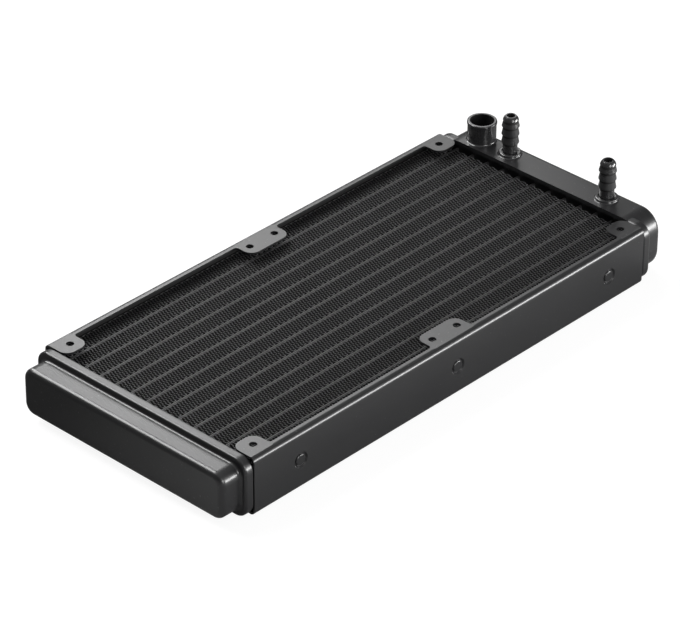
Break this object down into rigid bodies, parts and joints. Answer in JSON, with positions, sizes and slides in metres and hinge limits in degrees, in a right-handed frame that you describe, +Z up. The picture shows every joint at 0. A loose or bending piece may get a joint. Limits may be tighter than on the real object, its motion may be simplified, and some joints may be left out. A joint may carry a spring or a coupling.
{
  "type": "liquid cooling radiator",
  "caption": "Slim two-fan liquid cooling radiator with flat tubes, folded fins, tabbed side plates, a plain end tank, and a port tank with hose tails and a filler neck.",
  "frame": {"origin": "below the middle of the radiator, at its lowest plane", "axes": "+X along the tubes from the plain tank to the port tank, +Y across the core, +Z up out of the face that the hose tails stand on"},
  "size_m": [0.27, 0.12, 0.0478],
  "materials": {
    "plate_paint": "satin black",
    "rivet_paint": "satin black",
    "tank_paint": "satin black",
    "tube_paint": "satin black",
    "fin_paint": "matt black",
    "fitting_paint": "gloss black"
  },
  "bodies": {
    "root": {"side_plate_front": "plate_paint", "rivets_front": "rivet_paint", "core_strip_front": "fin_paint", "side_plate_back": "plate_paint", "rivets_back": "rivet_paint", "core_strip_back": "fin_paint", "flat_tube_01": "tube_paint", "flat_tube_02": "tube_paint", "flat_tube_03": "tube_paint", "flat_tube_04": "tube_paint", "flat_tube_05": "tube_paint", "flat_tube_06": "tube_paint", "flat_tube_07": "tube_paint", "flat_tube_08": "tube_paint", "flat_tube_09": "tube_paint", "flat_tube_10": "tube_paint", "flat_tube_11": "tube_paint", "flat_tube_12": "tube_paint", "fin_pack_01": "fin_paint", "fin_pack_02": "fin_paint", "fin_pack_03": "fin_paint", "fin_pack_04": "fin_paint", "fin_pack_05": "fin_paint", "fin_pack_06": "fin_paint", "fin_pack_07": "fin_paint", "fin_pack_08": "fin_paint", "fin_pack_09": "fin_paint", "fin_pack_10": "fin_paint", "fin_pack_11": "fin_paint", "fin_pack_12": "fin_paint", "fin_pack_13": "fin_paint", "plain_end_header": "tank_paint", "port_end_header": "tank_paint", "plain_end_tank": "tank_paint", "port_end_tank": "tank_paint", "tank_divider": "tank_paint", "inlet_barb": "fitting_paint", "outlet_barb": "fitting_paint", "filler_neck": "fitting_paint"}
  },
  "joints": []
}
